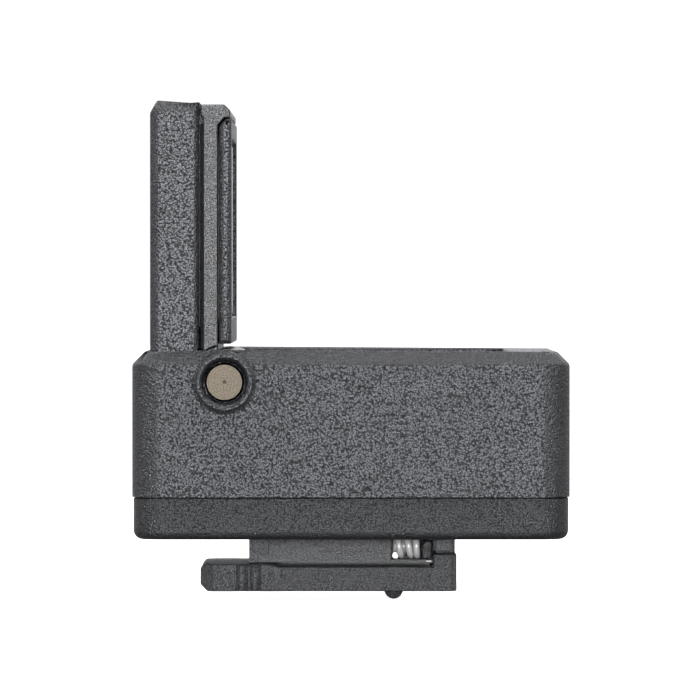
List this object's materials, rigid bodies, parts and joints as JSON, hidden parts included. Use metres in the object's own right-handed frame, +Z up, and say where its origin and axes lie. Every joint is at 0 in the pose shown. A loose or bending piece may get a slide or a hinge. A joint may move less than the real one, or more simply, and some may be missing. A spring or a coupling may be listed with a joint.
{
  "type": "fold-up camera light",
  "caption": "Small LED camera light whose head tilts up out of a battery body, on a sprung clip that also slides into an accessory shoe.",
  "frame": {"origin": "on the underside of the clip plate, under the middle of the body", "axes": "+Z up from the foot to the head, +X towards where the raised head shines, Y across the body along the head's hinge"},
  "size_m": [0.0366, 0.0428, 0.0423],
  "materials": {
    "grained_plastic": "leather-like moulded grain",
    "satin_plastic": "fine satin",
    "foot_metal": "black paint on a casting",
    "foot_plastic": "fine moulded texture",
    "pin_metal": "nickel-plated, turned end",
    "spring_steel": "bright drawn",
    "screw_steel": "black zinc",
    "aluminium": "satin",
    "circuit_board": "solder mask",
    "board_white": "white solder mask",
    "battery_foil": "laminated foil pouch",
    "diffuser_plastic": "frosted, translucent",
    "washer_polymer": "plain acetal"
  },
  "bodies": {
    "body": {"upper_shell": "grained_plastic", "lower_shell": "grained_plastic", "shell_screw_rear_near": "screw_steel", "shell_screw_rear_far": "screw_steel", "shell_screw_front_near": "screw_steel", "shell_screw_front_far": "screw_steel", "hinge_pin_near": "pin_metal", "hinge_pin_far": "pin_metal", "friction_washer_near": "washer_polymer", "friction_washer_far": "washer_polymer", "battery_pack": "battery_foil", "main_board": "circuit_board", "usb_socket": "spring_steel", "button_switch": "foot_plastic", "foot_neck": "foot_plastic", "foot_screw_1": "screw_steel", "foot_screw_2": "screw_steel", "clip_spring_near": "spring_steel", "clip_spring_far": "spring_steel"},
    "head": {"head_cover": "grained_plastic", "head_frame": "satin_plastic", "head_bezel": "grained_plastic", "diffuser": "diffuser_plastic", "led_board": "board_white", "heat_spreader": "aluminium"},
    "button": {"mode_button": "satin_plastic"},
    "clip": {"clip_arm": "foot_metal", "clip_pin": "spring_steel", "detent_bump": "foot_plastic"},
    "slider": {"clip_slider": "foot_metal"}
  },
  "joints": [
    {"name": "head_tilt", "type": "hinge", "parent": "body", "child": "head", "pos_m": [-0.01055, 0, 0.0178], "axis": [0, 1, 0], "range_deg": [0, 90]},
    {"name": "button_press", "type": "slide", "parent": "body", "child": "button", "axis": [0, -1, 0], "range_m": [0, 0.0005], "stiffness_N_per_m": 300},
    {"name": "clip_open", "type": "hinge", "parent": "body", "child": "clip", "pos_m": [0.00795, 0, 0.001], "axis": [0, -1, 0], "range_deg": [0, 10], "stiffness_Nm_per_rad": 0.05, "springref_deg": -1.15},
    {"name": "slider_push", "type": "slide", "parent": "body", "child": "slider", "axis": [-1, 0, 0], "range_m": [0, 0.0004], "deforming": ["clip_spring_near", "clip_spring_far"]}
  ],
  "couplings": [
    {"joint": "slider_push", "follows": "clip_open", "m_per_rad": 0.00205}
  ]
}
